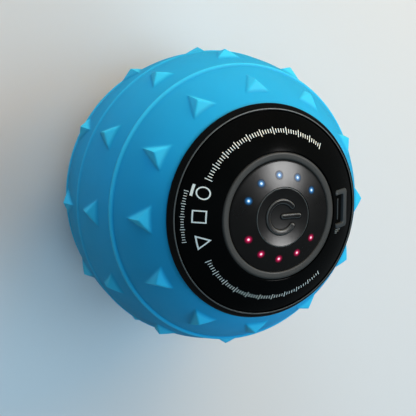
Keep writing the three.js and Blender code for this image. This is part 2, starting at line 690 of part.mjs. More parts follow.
add('chassis_deck', 'carrier_black', chassisDeck());
add('motor_body', 'steel', motorBody());
add('motor_shaft', 'screw_steel', motorShaft());
add('battery_cradle', 'carrier_black', batteryCradle());
sides.forEach((side, i) => {
  add(`motor_damper_${i + 1}`, 'damper_rubber', damper(side));
  add(`motor_clamp_${i + 1}`, 'carrier_black', motorClamp(side));
  add(`eccentric_weight_${i + 1}`, 'brass', eccentricWeight(side));
  add(`battery_cell_${i + 1}`, 'cell_wrap', batteryCell(side));
});
DECK_POSTS.forEach(([x, y], i) =>
  add(`deck_screw_${i + 1}`, 'screw_steel', screw(x, y, DECK_TOP_Z + GAP, 9, -1)));
[[-1, -1], [-1, 1], [1, -1], [1, 1]].forEach(([sx, sy], i) =>
  add(`clamp_screw_${i + 1}`, 'screw_steel',
    screw(sx * SADDLE_X, sy * CLAMP_SCREW_Y, 3.4 + GAP, 9, -1)));

// ---- leads --------------------------------------------------------------------------
const LEAD_R = 0.9;

function lead(points) {
  const path = new THREE.CatmullRomCurve3(points.map((p) => new THREE.Vector3(...p)));
  const section = new THREE.Shape();
  section.absarc(0, 0, LEAD_R, 0, Math.PI * 2, false);
  const options = { steps: 10, extrudePath: path, curveSegments: 3, bevelEnabled: false };
  return new THREE.ExtrudeGeometry(section, options);
}

const underBoard = BOARD_Z - GAP - LEAD_R;
add('motor_lead', 'lead_insulation', lead([
  [5, 0, MOTOR_R + 0.6], [5, 0, 26], [3.5, 0.5, 42], [3, 0.5, underBoard]]));
add('battery_lead', 'lead_insulation', lead([
  [34.9, CELL_Y, CELL_Z], [38.6, CELL_Y, CELL_Z + 3], [40, CELL_Y, DECK_TOP_Z - 1],
  [40, CELL_Y, 0], [30, 8, 26], [8, 5, 40], [3, 4.5, underBoard]]));
add('charging_lead', 'lead_insulation', lead([
  [26.4, 0, 43.8], [23.5, -1, 41.2], [12, -4, 40.5], [3, -4.5, 43], [1, -4.5, underBoard]]));

export default ball;
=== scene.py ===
"""Looks for the vibrating massage ball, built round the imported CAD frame.

The ball stands on its foot with its axis along +Z, the power button on top and the charging
port towards +X. Outlines are in millimetres about the ball's centre, as in the CAD, and
place() turns them into metres in the shared frame.
"""

import json
import math

import bmesh
import bpy
import numpy as np
from mathutils import Matrix, Vector


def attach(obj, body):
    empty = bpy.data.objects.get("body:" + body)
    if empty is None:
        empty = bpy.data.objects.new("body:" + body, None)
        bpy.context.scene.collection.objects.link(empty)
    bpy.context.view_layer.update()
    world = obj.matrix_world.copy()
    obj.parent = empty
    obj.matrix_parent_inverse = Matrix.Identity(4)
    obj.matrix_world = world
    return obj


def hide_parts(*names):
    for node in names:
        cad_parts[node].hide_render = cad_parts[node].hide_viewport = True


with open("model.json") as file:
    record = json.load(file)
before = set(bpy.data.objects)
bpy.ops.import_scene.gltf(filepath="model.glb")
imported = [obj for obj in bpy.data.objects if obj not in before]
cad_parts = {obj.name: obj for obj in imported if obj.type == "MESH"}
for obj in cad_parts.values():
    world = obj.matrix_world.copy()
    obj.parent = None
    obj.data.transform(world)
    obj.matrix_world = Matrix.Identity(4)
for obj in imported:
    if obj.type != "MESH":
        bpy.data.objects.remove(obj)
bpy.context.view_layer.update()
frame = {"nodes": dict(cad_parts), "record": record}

# ---- sizes in millimetres, as in the CAD ----------------------------------------------
MM = 0.001
GAP = 0.3                           # clearance between neighbouring parts
CENTRE_Z = 57.5                     # the ball's centre above the foot's face
BALL_R = 61.5
SLEEVE_T = 3.2
SLEEVE_EDGE_Z = 44.3
RIB_LATITUDES = (-22.5, 0.0, 22.5)
STUD_ROWS = (-36.4, -11.5, 11.5, 36.4)
STUDS_PER_ROW = 12
STUD_PITCH = 360 / STUDS_PER_ROW    # degrees
CAP_R = 62.1
CAP_T = 2.2
CAP_RIM_R = 40.3
BEZEL_R = 43.0
RING_IN_R = 22.1
RING_OUT_R = 25.1
RING_TOP_Z = 56.5
PANEL_DROP = 1.0
BUTTON_R = 11.75
BUTTON_RIM_Z = 59.3
LAMP_CIRCLE_R = 16.5
LAMP_ANGLES = (35.0, 64.5, 94.0, 123.5, 153.0)
LAMP_R = 1.75
GUIDE_FOOT_Z = 50.6                 # underside of the lamps and of the grey ring
PORT_LATITUDE = 60.2
PORT_LENGTH = 15.6
PORT_WIDTH = 9.3
PORT_ARM = 1.9
PORT_BAR = 3.4
PORT_SILL = 0.6
PORT_LIP = 0.45
PORT_DEPTH = 1.2
SOCKET_X = -0.35
FOOT_R = 24.0


# ---- mesh helpers -----------------------------------------------------------------------
def place(points):
    """Millimetres about the ball's centre to metres in the shared frame."""
    moved = np.asarray(points, dtype=float).copy()
    moved[..., 2] += CENTRE_Z
    return moved * MM


def new_piece(name, verts, faces, sharp_deg=35.0):
    """A mesh object with outward normals, smooth except across edges sharper than sharp_deg."""
    mesh = bpy.data.meshes.new(name)
    mesh.from_pydata([tuple(v) for v in verts], [], [tuple(f) for f in faces])
    work = bmesh.new()
    work.from_mesh(mesh)
    bmesh.ops.recalc_face_normals(work, faces=work.faces)
    work.to_mesh(mesh)
    work.free()
    mesh.shade_smooth()
    mesh.set_sharp_from_angle(angle=math.radians(sharp_deg))
    piece = bpy.data.objects.new(name, mesh)
    bpy.context.scene.collection.objects.link(piece)
    return piece


def loft_arrays(loops, ring):
    """Vertices and faces of the skin over a stack of equal closed loops. A ring joins the last
    loop to the first; otherwise both ends are capped."""
    stack = np.asarray(loops, dtype=float)
    rows, columns = stack.shape[:2]
    ids = np.arange(rows * columns).reshape(rows, columns)
    upper = np.roll(ids, -1, axis=0) if ring else ids[1:]
    lower = ids if ring else ids[:-1]
    quads = np.stack(
        [lower, np.roll(lower, -1, axis=1), np.roll(upper, -1, axis=1), upper], axis=-1
    ).reshape(-1, 4)
    faces = [tuple(q) for q in quads.tolist()]
    if not ring:
        faces.append(tuple(reversed(ids[0].tolist())))
        faces.append(tuple(ids[-1].tolist()))
    return stack.reshape(-1, 3), faces


def loft(name, loops, ring=False, sharp_deg=35.0):
    """A piece skinned over a stack of equal closed loops."""
    verts, faces = loft_arrays(loops, ring)
    return new_piece(name, verts, faces, sharp_deg)


def arc(radius, start, end, steps):
    """Outline points on a circle about the centre, from one height to another."""
    angles = np.linspace(math.asin(start / radius), math.asin(end / radius), steps)
    return [(radius * math.cos(a), radius * math.sin(a), 0.0) for a in angles]


def rounded(corners, closed, steps=5):
    """Replaces each (r, z, fillet) corner of an outline by a small arc of that radius."""
    out = []
    count = len(corners)
    for i, (r, z, fillet) in enumerate(corners):
        here = Vector((r, z))
        if fillet <= 0 or (not closed and i in (0, count - 1)):
            out.append((r, z))
            continue
        before = Vector(corners[i - 1][:2]) - here
        after = Vector(corners[(i + 1) % count][:2]) - here
        reach = min(fillet, before.length * 0.49, after.length * 0.49)
        a = here + before.normalized() * reach
        b = here + after.normalized() * reach
        for t in np.linspace(0, 1, steps):
            point = a * (1 - t) ** 2 + here * 2 * t * (1 - t) + b * t ** 2
            out.append((point.x, point.y))
    return out


def circle(r, z, columns):
    """A closed loop of points round the axis."""
    angles = np.linspace(0, 2 * math.pi, columns, endpoint=False)
    return np.stack([r * np.cos(angles), r * np.sin(angles), np.full(columns, z)], axis=-1)


def turned(name, corners, ring=True, columns=192):
    """A piece turned about the ball's axis from an outline of (r, z, fillet) corners."""
    outline = rounded(corners, ring)
    loops = [place(circle(max(r, 0.02), z, columns)) for r, z in outline]
    return loft(name, loops, ring)


def rounded_loop(width, length, corner, z=0.0, steps=8):
    """A rounded rectangle as a closed loop of points, with width along X and length along Y."""
    points = []
    for quarter, (sx, sy) in enumerate(((1, 1), (-1, 1), (-1, -1), (1, -1))):
        for t in np.linspace(0, math.pi / 2, steps):
            angle = t + quarter * math.pi / 2
            points.append((
                sx * (width / 2 - corner) + corner * math.cos(angle),
                sy * (length / 2 - corner) + corner * math.sin(angle),
                z,
            ))
    return np.array(points)


def carve(piece, cutters):
    """Cuts solids out of a piece and removes them."""
    for cutter in cutters:
        cut = piece.modifiers.new("cut", "BOOLEAN")
        cut.operation = "DIFFERENCE"
        cut.solver = "EXACT"
        cut.object = cutter
    graph = bpy.context.evaluated_depsgraph_get()
    mesh = bpy.data.meshes.new_from_object(piece.evaluated_get(graph))
    piece.modifiers.clear()
    piece.data = mesh
    mesh.shade_smooth()
    mesh.set_sharp_from_angle(angle=math.radians(35))
    for cutter in cutters:
        bpy.data.objects.remove(cutter, do_unlink=True)


def finish_piece(piece, body, material, replaced=()):
    """Gives a piece its material and body, and hides the CAD nodes that it replaces."""
    piece.data.materials.clear()
    piece.data.materials.append(material)
    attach(piece, body)
    if replaced:
        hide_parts(*replaced)


# ---- materials --------------------------------------------------------------------------
NOISE_SPAN = (0.3, 0.7)             # the middle of a noise field, where most of it lies
MIX_FACTOR, MIX_A, MIX_B = 0, 6, 7  # inputs of a colour Mix node
MIX_COLOR = 2                       # its output


def principled(name, color, roughness, **sockets):
    """A material with one Principled shader, and a helper's view of its node tree."""
    material = bpy.data.materials.new(name)
    material.use_nodes = True
    tree = material.node_tree
    shader = tree.nodes["Principled BSDF"]
    shader.inputs["Base Color"].default_value = (*color, 1.0)
    shader.inputs["Roughness"].default_value = roughness
    for socket, value in sockets.items():
        shader.inputs[socket.replace("_", " ")].default_value = value
    return material, tree, shader


def noise(tree, scale, detail=3.0, roughness=0.5):
    """A noise field in the object's own coordinates; scale is in cycles per metre."""
    coords = tree.nodes.new("ShaderNodeTexCoord")
    field = tree.nodes.new("ShaderNodeTexNoise")
    field.inputs["Scale"].default_value = scale
    field.inputs["Detail"].default_value = detail
    field.inputs["Roughness"].default_value = roughness
    tree.links.new(coords.outputs["Object"], field.inputs["Vector"])
    return field.outputs["Fac"]


def attribute(tree, name):
    """A value that the mesh stores for each vertex."""
    node = tree.nodes.new("ShaderNodeAttribute")
    node.attribute_name = name
    return node.outputs["Fac"]


def remap(tree, value, source=(0.0, 1.0), target=(0.0, 1.0)):
    """Maps a field from one range onto another and holds it at both ends."""
    node = tree.nodes.new("ShaderNodeMapRange")
    for socket, bound in zip(("From Min", "From Max", "To Min", "To Max"), (*source, *target)):
        node.inputs[socket].default_value = bound
    tree.links.new(value, node.inputs["Value"])
    return node.outputs["Result"]


def spread(tree, value, low, high):
    """Maps the middle of a noise field onto a range."""
    return remap(tree, value, NOISE_SPAN, (low, high))


def vary_color(tree, shader, value, dark, light):
    """Drives the base colour between two tones by a noise field."""
    ramp = tree.nodes.new("ShaderNodeValToRGB")
    for element, position, tone in zip(ramp.color_ramp.elements, NOISE_SPAN, (dark, light)):
        element.position = position
        element.color = (*tone, 1)
    tree.links.new(value, ramp.inputs["Fac"])
    tree.links.new(ramp.outputs["Color"], shader.inputs["Base Color"])


def blend_in(tree, shader, color, amount):
    """Moves the base colour towards another by a 0 to 1 field."""
    plain = shader.inputs["Base Color"].links[0].from_socket
    blend = tree.nodes.new("ShaderNodeMix")
    blend.data_type = "RGBA"
    blend.inputs[MIX_B].default_value = (*color, 1)
    tree.links.new(amount, blend.inputs[MIX_FACTOR])
    tree.links.new(plain, blend.inputs[MIX_A])
    tree.links.new(blend.outputs[MIX_COLOR], shader.inputs["Base Color"])


def bump(tree, shader, value, strength, distance):
    """Raises the surface by a field; distance is in metres."""
    node = tree.nodes.new("ShaderNodeBump")
    node.inputs["Strength"].default_value = strength
    node.inputs["Distance"].default_value = distance
    tree.links.new(value, node.inputs["Height"])
    tree.links.new(node.outputs["Normal"], shader.inputs["Normal"])


def moulded(name, color, roughness, grain=900.0, depth=0.00004, spread_by=0.15, **sockets):
    """A moulded surface: slight tone and gloss variation over a fine grain."""
    material, tree, shader = principled(name, color, roughness, **sockets)
    dark = tuple(c * (1 - spread_by) for c in color)
    light = tuple(min(1.0, c * (1 + spread_by)) for c in color)
    vary_color(tree, shader, noise(tree, 38.0), dark, light)
    gloss = spread(tree, noise(tree, 120.0), roughness * 0.88, min(1.0, roughness * 1.12))
    tree.links.new(gloss, shader.inputs["Roughness"])
    bump(tree, shader, noise(tree, grain), 0.35, depth)
    return material


def lit_lens(name, core, glow):
    """A lamp seen through its lens: a white core that falls off to its colour, then to black."""
    material, tree, shader = principled(name, (0.004, 0.004, 0.004), 0.3, Specular_IOR_Level=0.32)
    from_centre = attribute(tree, "from_centre")
    ramp = tree.nodes.new("ShaderNodeValToRGB")
    faded = [tuple(c * part for c in glow) for part in (0.36, 0.13)]
    stops = ((0.0, core), (0.13, core), (0.34, glow), (0.56, faded[0]), (0.8, faded[1]), (1.0, (0, 0, 0)))
    while len(ramp.color_ramp.elements) < len(stops):
        ramp.color_ramp.elements.new(0.5)
    for element, (position, color) in zip(ramp.color_ramp.elements, stops):
        element.position = position
        element.color = (*color, 1)
    tree.links.new(from_centre, ramp.inputs["Fac"])
    tree.links.new(ramp.outputs["Color"], shader.inputs["Emission Color"])
    shader.inputs["Emission Strength"].default_value = 1.2
    return material


SILICONE = (0.018, 0.375, 0.69)
BUTTON_BLACK = (0.0038, 0.0033, 0.0031)
SYMBOL_EDGE_HIGHLIGHT = (0.13, 0.12, 0.115)        # painted highlight along the edges of the button's symbol
CREST_HIGHLIGHT = (0.06, 0.68, 1.00)          # painted highlight on the ribs and stud tips, where they catch the light


def silicone():
    """Satin silicone, with a painted highlight that makes it lighter along its crests."""
    material, tree, shader = principled(
        "blue_silicone", SILICONE, 0.5, Subsurface_Weight=0.04, Subsurface_Scale=0.001,
        IOR=1.25)
    dark, light = (tuple(c * part for c in SILICONE) for part in (0.96, 1.04))
    vary_color(tree, shader, noise(tree, 30.0), dark, light)
    # painted highlight: the crest height blends the base colour towards a lighter blue
    amount = remap(tree, attribute(tree, "crest"), (0.15, 1.0), (0.0, 0.7))
    blend_in(tree, shader, CREST_HIGHLIGHT, amount)
    gloss = spread(tree, noise(tree, 140.0), 0.46, 0.56)
    tree.links.new(gloss, shader.inputs["Roughness"])
    bump(tree, shader, noise(tree, 1400.0), 0.3, 0.00003)
    return material


def button_plastic():
    """Satin black, with a painted highlight lighter along the symbol's raised edges and painted shade at
    their foot, where the gloss is turned down.
    """
    material = moulded("button_black", BUTTON_BLACK, 0.33, 1800.0, 0.000008, 0.15)
    tree = material.node_tree
    shader = tree.nodes["Principled BSDF"]
    # painted highlight: the symbol's edges are lightened towards grey
    blend_in(tree, shader, SYMBOL_EDGE_HIGHLIGHT, attribute(tree, "stroke_edge"))
    # painted shade: the gloss is turned down at the foot of the strokes
    gloss = remap(tree, attribute(tree, "stroke_foot"), target=(0.8, 0.05))
    tree.links.new(gloss, shader.inputs["Specular IOR Level"])
    return material


LOOKS = {
    "blue_silicone": silicone(),
    "gloss_black": moulded(
        "gloss_black", (0.0025, 0.0025, 0.0025), 0.14, 260.0, 0.000004, 0.2, IOR=1.16),
    "bezel_black": moulded("bezel_black", (0.003, 0.003, 0.003), 0.2, 260.0, 0.000004, 0.2, IOR=1.4),
    "grey_ring": moulded("grey_ring", (0.043, 0.038, 0.035), 0.5, 2200.0, 0.00003, 0.1),
    "panel_black": moulded(
        "panel_black", (0.0034, 0.003, 0.0028), 0.3, 240.0, 0.000004, 0.2, Specular_IOR_Level=0.7),
    "button_black": button_plastic(),
    "port_grey": moulded("port_grey", (0.05, 0.05, 0.052), 0.38, 2000.0, 0.00002, 0.1),
    "port_rubber": moulded(
        "port_rubber", (0.0025, 0.0025, 0.0025), 0.6, 2400.0, 0.00003, 0.2, IOR=1.1),
    "shell_grey": moulded("shell_grey", (0.03, 0.032, 0.036), 0.6, 1500.0, 0.00004, 0.15),
    "carrier_black": moulded("carrier_black", (0.016, 0.016, 0.018), 0.6, 1500.0, 0.00004, 0.2),
    "board_green": moulded("board_green", (0.01, 0.08, 0.03), 0.4, 700.0, 0.00002, 0.2),
    "steel": moulded("steel", (0.55, 0.56, 0.58), 0.32, 3000.0, 0.00001, 0.08, Metallic=1.0),
    "screw_steel": moulded(
        "screw_steel", (0.36, 0.37, 0.39), 0.38, 2600.0, 0.00002, 0.12, Metallic=1.0),
    "brass": moulded("brass", (0.55, 0.38, 0.13), 0.34, 2600.0, 0.00002, 0.12, Metallic=1.0),
    "damper_rubber": moulded("damper_rubber", (0.014, 0.014, 0.015), 0.85, 1800.0, 0.00004, 0.2),
    "cell_wrap": moulded("cell_wrap", (0.015, 0.16, 0.07), 0.3, 500.0, 0.00001, 0.08),
    "foot_rubber": moulded("foot_rubber", (0.018, 0.018, 0.02), 0.8, 1600.0, 0.00005, 0.2),
    "lead_insulation": moulded("lead_insulation", (0.35, 0.03, 0.02), 0.5, 1500.0, 0.00002, 0.1),
    "blue_lamp": lit_lens("blue_lamp", (0.8, 0.97, 1.0), (0.03, 0.22, 0.55)),
    "red_lamp": lit_lens("red_lamp", (1.0, 0.8, 0.88), (0.6, 0.008, 0.1)),
}
PRINT = moulded("print_white", (0.98, 0.92, 0.86), 0.45, 2600.0, 0.00001, 0.02)
# painted highlight: a lighter grey for the thin beads on the bezels' lips and the button's rim
BEAD_HIGHLIGHT = moulded("bead_highlight_grey", (0.09, 0.09, 0.088), 0.3, 2600.0, 0.00001, 0.1)
GRIP = moulded("grip_grey", (0.16, 0.16, 0.16), 0.4, 2600.0, 0.00001, 0.1)


# ---- sleeve -----------------------------------------------------------------------------
STUD_H = 2.85
STUD_SOFT = 0.20                    # rounding of a stud's ridges and of its foot
RIB_H = 0.9
MID_RIB_H = 0.5                     # the rib at the equator shows much more faintly
RIB_HALF_W = 1.05
FRONT_EDGE = 4.2                    # from a stud's tip to the edge that faces the cap
SIDE_EDGE = 3.26                    # from a stud's tip to each of its other two edges
SIDE_SLOPE = (0.887, -0.461)        # direction in which a side face falls away
STUD_REACH = (10.0, 11.0)           # how far east and north of its tip a stud may stand
EDGE_ROUND = 0.7                    # how far the sleeve's edges are drawn in
# Degrees of fine mesh: each side of a rib, and from a stud's tip past its point, its front
# edge and each of its sides.
FINE_RIB = 1.3
FINE_POINT = 7.3
FINE_FRONT = 4.6
FINE_SIDE = 7.8


def soft_min(a, b, width):
    """The smaller of two fields, with the crease between them rounded over a width."""
    mix = np.clip(0.5 + 0.5 * (b - a) / width, 0, 1)
    return b * (1 - mix) + a * mix - width * mix * (1 - mix)


def stud_height(east, north):
    """Height of a three-sided pyramid over its tip's tangent plane, in millimetres."""
    front = STUD_H * (1 - north / FRONT_EDGE)
    fall = np.abs(east) * SIDE_SLOPE[0] + north * SIDE_SLOPE[1]
    side = STUD_H * (1 - fall / SIDE_EDGE)
    faces = soft_min(front, side, STUD_SOFT * 2)
    return -soft_min(-faces, np.zeros_like(faces), STUD_SOFT)


def sleeve_lift(latitude, longitude):
    """Height of the ribs and studs over the ball at the given angles in degrees."""
    lift = np.zeros(np.broadcast(latitude, longitude).shape)
    for rib in RIB_LATITUDES:
        across = (latitude - rib) * math.pi / 180 * BALL_R / RIB_HALF_W
        bead = np.clip(1 - across ** 2, 0, 1) ** 0.6
        lift = np.maximum(lift, (RIB_H if rib else MID_RIB_H) * bead)
    off = (longitude + STUD_PITCH / 2) % STUD_PITCH - STUD_PITCH / 2
    for row in STUD_ROWS:
        sense = 1 if row > 0 else -1
        east = np.radians(off) * BALL_R * np.cos(np.radians(latitude))
        north = np.radians(latitude - row) * BALL_R * sense
        near = (np.abs(east) < STUD_REACH[0]) & (np.abs(north) < STUD_REACH[1])
        lift = np.maximum(lift, np.where(near, stud_height(east, north), 0))
    return lift


def stations(low, high, spans, fine, coarse):
    """Positions from low to high, close together inside the spans and wide apart outside."""
    places = [low]
    while places[-1] < high:
        here = places[-1]
        inside = any(a - 1e-6 <= here < b for a, b in spans)
        ahead = [a for a, _ in spans if a > here + 1e-6]
        step = fine if inside else coarse
        if not inside and ahead:
            step = min(step, min(ahead) - here)
        places.append(min(high, here + step))
    return np.array(places)


def sleeve():
    """One closed skin: the studded outside, rounded edges and a plain inside."""
    edge = math.degrees(math.asin(SLEEVE_EDGE_Z / BALL_R))
    spans = [(rib - FINE_RIB, rib + FINE_RIB) for rib in RIB_LATITUDES]
    for row in STUD_ROWS:
        sense = 1 if row > 0 else -1
        spans.append(tuple(sorted((row - sense * FINE_POINT, row + sense * FINE_FRONT))))
    rows = stations(-edge, edge, spans, 0.40, 1.1)
    sides = [(0, FINE_SIDE), (STUD_PITCH - FINE_SIDE, STUD_PITCH)]
    cell = stations(0, STUD_PITCH, sides, 0.45, 1.2)[:-1]
    columns = np.concatenate([cell + STUD_PITCH * k for k in range(STUDS_PER_ROW)])
    latitude, longitude = np.meshgrid(rows, columns, indexing="ij")
    radius = BALL_R + sleeve_lift(latitude, longitude)
    round_off = EDGE_ROUND * np.clip(1 - (edge - np.abs(latitude)) / 1.0, 0, 1) ** 2
    radius = radius - round_off
    lat, lon = np.radians(latitude), np.radians(longitude)
    outer = np.stack([
        radius * np.cos(lat) * np.cos(lon), radius * np.cos(lat) * np.sin(lon),
        radius * np.sin(lat)], axis=-1)
    inner_r = BALL_R - SLEEVE_T
    inner_edge = math.asin(SLEEVE_EDGE_Z / inner_r)
    inner = []
    for angle in np.linspace(inner_edge, -inner_edge, 14):
        loop = np.stack([
            np.cos(angle) * np.cos(np.radians(columns)), np.cos(angle) * np.sin(np.radians(columns)),
            np.full(len(columns), math.sin(angle))], axis=-1)
        inner.append(loop * inner_r)
    loops = place(np.concatenate([outer, np.array(inner)]))
    skin = loft("sleeve_skin", loops, ring=True, sharp_deg=50)
    # crest: how far the ribs and studs stand out, the mask of the silicone's painted highlight
    crest = skin.data.attributes.new("crest", "FLOAT", "POINT")
    height = np.clip((radius - BALL_R) / RIB_H, 0, 1)
    crest.data.foreach_set("value", np.append(height.ravel(), np.zeros(len(inner) * len(columns))))
    finish_piece(skin, "ball", LOOKS["blue_silicone"], ("silicone_sleeve",))


# ---- caps -------------------------------------------------------------------------------
def dome_height(r):
    """Height of the front dome over the ball's centre at a distance r from the axis."""
    return math.sqrt(CAP_R ** 2 - r ** 2)


def flipped(corners, side):
    """An outline as drawn for the front (side 1) or mirrored for the rear (side -1)."""
    return [(r, z * side, fillet) for r, z, fillet in corners]


def bezels():
    """The rounded band between the sleeve and each dome, with a thin raised inner lip whose lighter grey
    bead is a painted highlight.
    """
    corners = [
        (34.6, 44.6, 0.0), (BEZEL_R, 44.6, 0.2), (BEZEL_R + 0.12, 45.0, 0.5), (42.5, 46.1, 0.9),
        (41.45, 46.75, 0.5), (41.3, 47.1, 0.2), (40.85, 47.35, 0.22), (40.62, 47.05, 0.15),
        (40.62, 46.0, 0.1), (34.6, 46.0, 0.0),
    ]
    bead = [(40.7, 46.9, 0.0), (41.24, 46.9, 0.0), (41.2, 47.38, 0.16), (40.76, 47.46, 0.16)]
    for name, side in (("front_bezel", 1), ("rear_bezel", -1)):
        band = turned(f"{name}_band", flipped(corners, side))
        finish_piece(band, "ball", LOOKS["bezel_black"], (name,))
        line = turned(f"{name}_bead", flipped(bead, side), columns=240)
        # the bead's lighter grey is a painted highlight on the lip
        finish_piece(line, "ball", BEAD_HIGHLIGHT)


def at_port(loop):
    """Moves points drawn at the pole to the charging port: x downhill, z out of the dome."""
    turn = Matrix.Rotation(math.radians(90 - PORT_LATITUDE), 3, "Y")
    return place(np.asarray(loop) @ np.array(turn).T)


def port_block(width, length, corner, low, high, x=0.0):
    """A cutter at the port: a rounded block between two heights over the ball's centre."""
    loops = [at_port(rounded_loop(width, length, corner) + (x, 0, z)) for z in (low, high)]
    return loft("cutter", loops)


def front_cap():
    """The dome round the lamp panel, with the mouth of the charging port cut in it."""
    inner_r = CAP_R - CAP_T
    collar = RING_OUT_R + GAP
    corners = [
        *arc(CAP_R, dome_height(CAP_RIM_R - 0.25), dome_height(collar + 0.15), 28),
        (collar, dome_height(collar) - 0.15, 0.0), (collar, 48.5, 0.0), (collar + 1.8, 48.5, 0.0),
        *arc(inner_r, math.sqrt(inner_r ** 2 - (collar + 1.8) ** 2), 46.3, 8),
        (CAP_RIM_R, 46.3, 0.0), (CAP_RIM_R, dome_height(CAP_RIM_R) - 0.25, 0.0),
    ]
    dome = turned("front_cap_dome", corners, columns=240)
    carve(dome, [
        port_block(PORT_WIDTH + 0.24, PORT_LENGTH + 0.24, 1.62, CAP_R - 1.5, CAP_R + 3),
        port_block(3.7, 9.5, 0.6, CAP_R - 4, CAP_R, SOCKET_X),
    ])
    finish_piece(dome, "ball", LOOKS["gloss_black"], ("front_cap",))


def rear_cap():
    """The closed dome under the ball, with a seat for the foot."""
    inner_r = CAP_R - CAP_T
    seat = FOOT_R + GAP
    corners = [
        (0.0, -55.4, 0.0), (seat, -55.4, 0.1), (seat, -56.6, 0.2), (26.0, -56.6, 0.6),
        *arc(CAP_R, -dome_height(26.9), -dome_height(CAP_RIM_R - 0.25), 24),
        (CAP_RIM_R, -dome_height(CAP_RIM_R) + 0.25, 0.0), (CAP_RIM_R, -46.3, 0.0),
        *arc(inner_r, -46.3, -53.2, 8), (0.0, -53.2, 0.0),
    ]
    dome = turned("rear_cap_dome", corners, ring=False, columns=240)
    finish_piece(dome, "ball", LOOKS["gloss_black"], ("rear_cap",))


def foot_pad():
    """A rubber disc with shallow grip rings moulded into its face."""
    corners = [(0.0, -55.7, 0.0), (FOOT_R, -55.7, 0.1), (FOOT_R, -57.5, 0.6)]
    for ring in (21.0, 17.0, 13.0, 9.0, 5.0):
        corners += [
            (ring + 0.5, -57.5, 0.15), (ring + 0.3, -56.9, 0.15), (ring - 0.3, -56.9, 0.15),
            (ring - 0.5, -57.5, 0.15)]
    corners.append((0.0, -57.5, 0.0))
    pad = turned("foot_pad_disc", corners, ring=False, columns=160)
    finish_piece(pad, "ball", LOOKS["foot_rubber"], ("foot_pad",))


def panel_ring():
    """The matte ring round the lamp panel, with the ledge that carries the panel."""
    corners = [
        (RING_IN_R + 0.05, RING_TOP_Z - 0.35, 0.15), (RING_IN_R + 0.5, RING_TOP_Z + 0.02, 0.3),
        (RING_OUT_R - 0.6, RING_TOP_Z + 0.12, 0.4), (RING_OUT_R, RING_TOP_Z - 0.35, 0.3),
        (RING_OUT_R, GUIDE_FOOT_Z, 0.0), (RING_IN_R, GUIDE_FOOT_Z, 0.0), (20.5, 53.0, 0.0),
        (20.5, 54.2, 0.0),
        (RING_IN_R + 0.05, 54.2, 0.0),
    ]
    ring = turned("panel_ring_band", corners)
    finish_piece(ring, "ball", LOOKS["grey_ring"], ("panel_ring",))


LAMP_COLUMNS = 40


def panel_top(r):
    """Height of the lamp panel's face at a distance r from the axis."""
    return math.sqrt(BALL_R ** 2 - r ** 2) - PANEL_DROP


def lamp_place(angle):
    """A lamp's (x, y) at an angle round the lamp circle."""
    return LAMP_CIRCLE_R * math.cos(angle), LAMP_CIRCLE_R * math.sin(angle)


def lamp_seats():
    """(colour, number, angle) of each lamp; blue on the +Y side and red on the -Y side."""
    for color, side in (("blue", 1), ("red", -1)):
        for i, angle in enumerate(LAMP_ANGLES):
            yield color, i + 1, math.radians(angle * side)


def lamp_panel():
    """The glossy disc between the grey ring and the button, with a hole for each lamp."""
    inner, outer = BUTTON_R + 0.12, RING_IN_R - 0.12
    top = [(r, panel_top(r), 0.0) for r in np.linspace(outer - 0.2, inner + 0.1, 20)]
    corners = [
        (inner, panel_top(inner) - 0.1, 0.0), (inner, 57.1, 0.0), (16.5, 56.2, 0.0),
        (20.8, 54.5, 0.0), (outer, 54.5, 0.0), (outer, panel_top(outer) - 0.2, 0.0), *top,
    ]
    panel = turned("lamp_panel_disc", corners)
    cutters = []
    for _, _, angle in lamp_seats():
        x, y = lamp_place(angle)
        loops = [place(circle(LAMP_R + 0.02, z, LAMP_COLUMNS) + (x, y, 0)) for z in (54, 60)]
        cutters.append(loft("cutter", loops))
    carve(panel, cutters)
    finish_piece(panel, "ball", LOOKS["panel_black"], ("led_panel",))


def lamps():
    """Light guides that end flush with the panel; each vertex keeps its distance from the core."""
    for color, number, angle in lamp_seats():
        x, y = lamp_place(angle)
        radii = [LAMP_R, *np.linspace(LAMP_R, 0.05, 15)]
        loops = []
        for i, radius in enumerate(radii):
            loop = circle(radius, GUIDE_FOOT_Z, LAMP_COLUMNS) + (x, y, 0)
            if i > 0:
                loop[:, 2] = [panel_top(math.hypot(a, b)) for a, b in loop[:, :2]]
            loops.append(place(loop))
        lens = loft(f"{color}_lens_{number}", loops)
        reach = lens.data.attributes.new("from_centre", "FLOAT", "POINT")
        for i, vertex in enumerate(lens.data.vertices):
            off = math.hypot(vertex.co.x - x * MM, vertex.co.y - y * MM)
            reach.data[i].value = off / (LAMP_R * MM)
        slot = f"{color}_lamp"
        finish_piece(lens, "ball", LOOKS[slot], (f"{color}_lamp_{number}",))


# ---- power button -----------------------------------------------------------------------
DISH = 1.6                          # depth of the button's hollow
RIM_ROUND = 0.45
SYMBOL_R = 6.1
SYMBOL_GAP = math.radians(38)       # half the opening of the symbol's arc
STROKE_HALF_W = 0.95
STROKE_H = 0.7
BAR = (0.9, 7.6)                    # ends of the symbol's bar, from the middle


def symbol_near(x, y):
    """Distance from the standby symbol's strokes, an open arc and a bar, over their half width."""
    r, angle = np.hypot(x, y), np.abs(np.arctan2(y, x))
    end = (SYMBOL_R * math.cos(SYMBOL_GAP), SYMBOL_R * math.sin(SYMBOL_GAP))
    to_arc = np.where(
        angle > SYMBOL_GAP, np.abs(r - SYMBOL_R), np.hypot(x - end[0], np.abs(y) - end[1]))
    to_bar = np.hypot(x - np.clip(x, *BAR), y)
    return np.minimum(to_arc, to_bar) / STROKE_HALF_W


